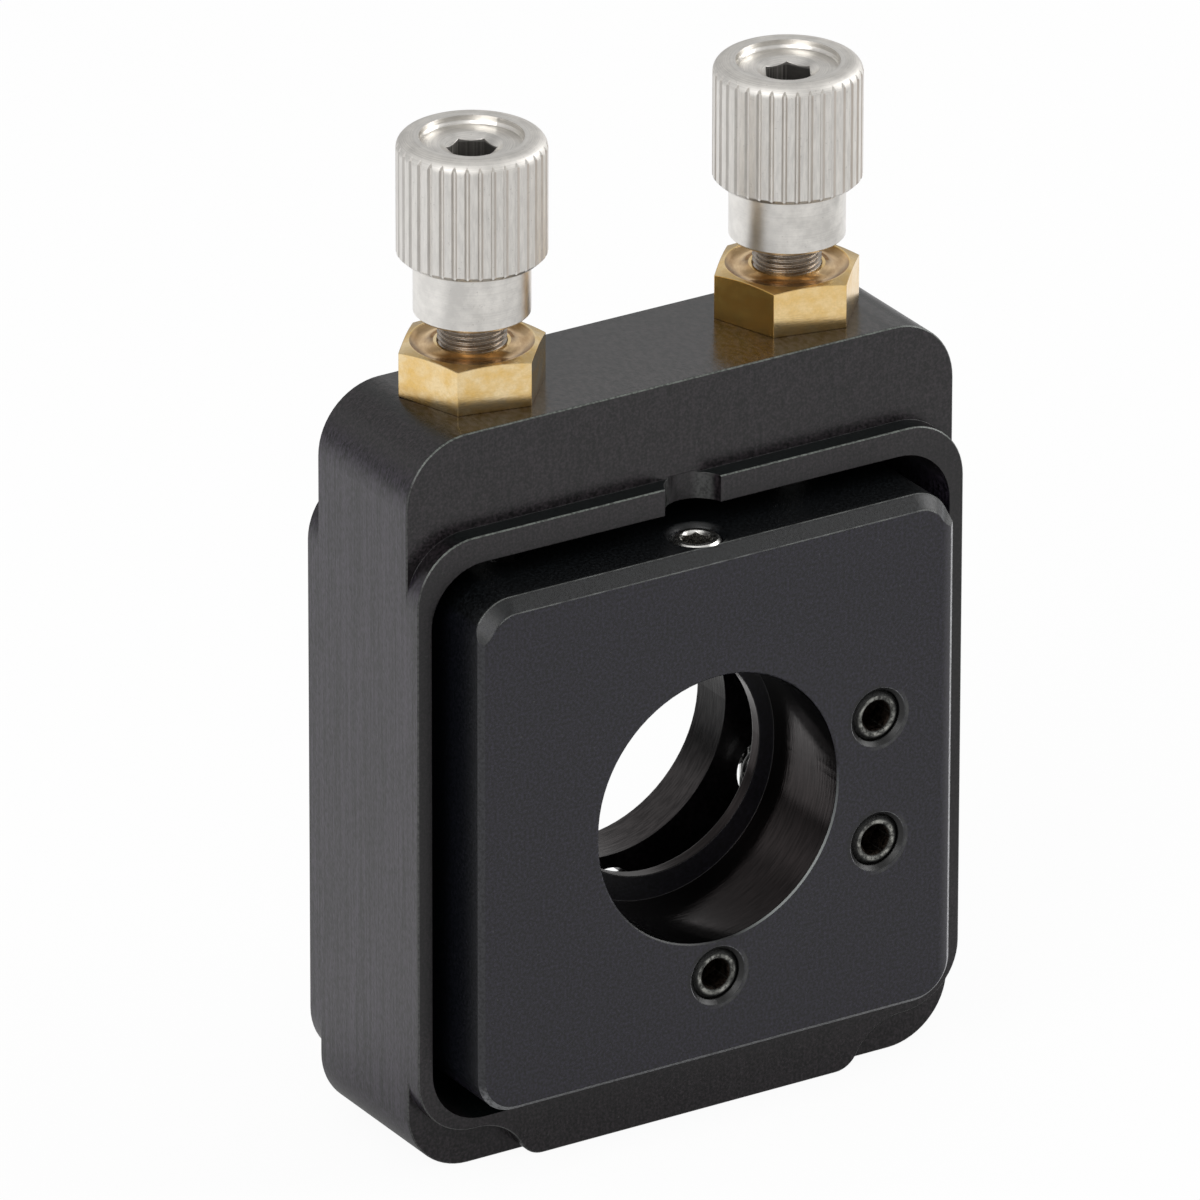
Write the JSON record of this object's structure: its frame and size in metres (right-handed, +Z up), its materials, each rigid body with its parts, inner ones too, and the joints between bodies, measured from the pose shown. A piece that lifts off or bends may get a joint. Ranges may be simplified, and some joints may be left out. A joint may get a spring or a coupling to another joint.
{
  "type": "kinematic mirror mount",
  "caption": "Top-actuated kinematic mount for a half-inch optic: square frame, tilting front plate and two knurled fine screws whose ramped pins tilt the plate.",
  "frame": {"origin": "on the optic axis, in the plane of the front plate's face", "axes": "+X to the right seen from the front, +Y back through the mount along the optic axis, +Z up towards the knobs"},
  "size_m": [0.0292, 0.0119, 0.0486],
  "materials": {
    "black_anodised": "black anodised, fine brushed grain",
    "plate_anodised": "dark blue-grey anodised, matte",
    "stainless": "satin machined stainless",
    "thread_steel": "dark machined thread",
    "hardened_steel": "ground",
    "brass": "machined, satin",
    "black_screw": "black oxide",
    "spring_wire": "drawn wire",
    "nylon": "natural nylon"
  },
  "bodies": {
    "frame": {"frame": "black_anodised", "bushing_left": "brass", "bushing_right": "brass", "cross_pin_upper": "hardened_steel", "cross_pin_lower": "hardened_steel", "cross_pin_bottom": "hardened_steel", "spring_upper": "spring_wire", "spring_lower": "spring_wire", "spring_bottom": "spring_wire"},
    "left_drive": {"drive_pin_left": "hardened_steel"},
    "left_adjuster": {"screw_left": "thread_steel", "knob_left": "stainless"},
    "right_drive": {"drive_pin_right": "hardened_steel"},
    "right_adjuster": {"screw_right": "thread_steel", "knob_right": "stainless"},
    "pivot": {"pivot_ball": "hardened_steel"},
    "plate": {"front_plate": "plate_anodised", "drive_ball_left": "hardened_steel", "drive_ball_right": "hardened_steel", "spring_screw_upper": "black_screw", "spring_screw_lower": "black_screw", "spring_screw_bottom": "black_screw"},
    "optic_tip": {"optic_tip": "nylon"},
    "optic_screw": {"optic_screw": "stainless"}
  },
  "joints": [
    {"name": "left_knob_turn", "type": "hinge", "parent": "left_drive", "child": "left_adjuster", "pos_m": [-0.0084, 0.0077, 0.025], "axis": [0, 0, 1], "range_deg": [-1620, 1620]},
    {"name": "left_travel", "type": "slide", "parent": "frame", "child": "left_drive", "axis": [0, 0, 1], "range_m": [-0.00114, 0.00114]},
    {"name": "plate_yaw", "type": "hinge", "parent": "frame", "child": "pivot", "pos_m": [0.0084, 0.00663, -0.0084], "axis": [0, 0, 1], "range_deg": [-3.9, 3.9], "deforming": ["spring_bottom"]},
    {"name": "right_knob_turn", "type": "hinge", "parent": "right_drive", "child": "right_adjuster", "pos_m": [0.0084, 0.0077, 0.025], "axis": [0, 0, 1], "range_deg": [-1620, 1620]},
    {"name": "right_travel", "type": "slide", "parent": "frame", "child": "right_drive", "axis": [0, 0, 1], "range_m": [-0.00114, 0.00114]},
    {"name": "plate_pitch", "type": "hinge", "parent": "pivot", "child": "plate", "pos_m": [0.0084, 0.00663, -0.0084], "axis": [1, 0, 0], "range_deg": [-3.9, 3.9], "deforming": ["spring_upper", "spring_lower"]},
    {"name": "optic_screw_turn", "type": "hinge", "parent": "optic_tip", "child": "optic_screw", "pos_m": [0, 0.002, 0.01], "axis": [0, 0, 1], "range_deg": [-560, 280]},
    {"name": "optic_screw_travel", "type": "slide", "parent": "plate", "child": "optic_tip", "axis": [0, 0, 1], "range_m": [-0.0007, 0.00035]}
  ],
  "couplings": [
    {"joint": "left_knob_turn", "follows": "left_travel", "rad_per_m": 24737},
    {"joint": "plate_yaw", "follows": "left_travel", "rad_per_m": -59.524},
    {"joint": "right_knob_turn", "follows": "right_travel", "rad_per_m": 24737},
    {"joint": "plate_pitch", "follows": "right_travel", "rad_per_m": -59.524},
    {"joint": "optic_screw_turn", "follows": "optic_screw_travel", "rad_per_m": 13962}
  ]
}
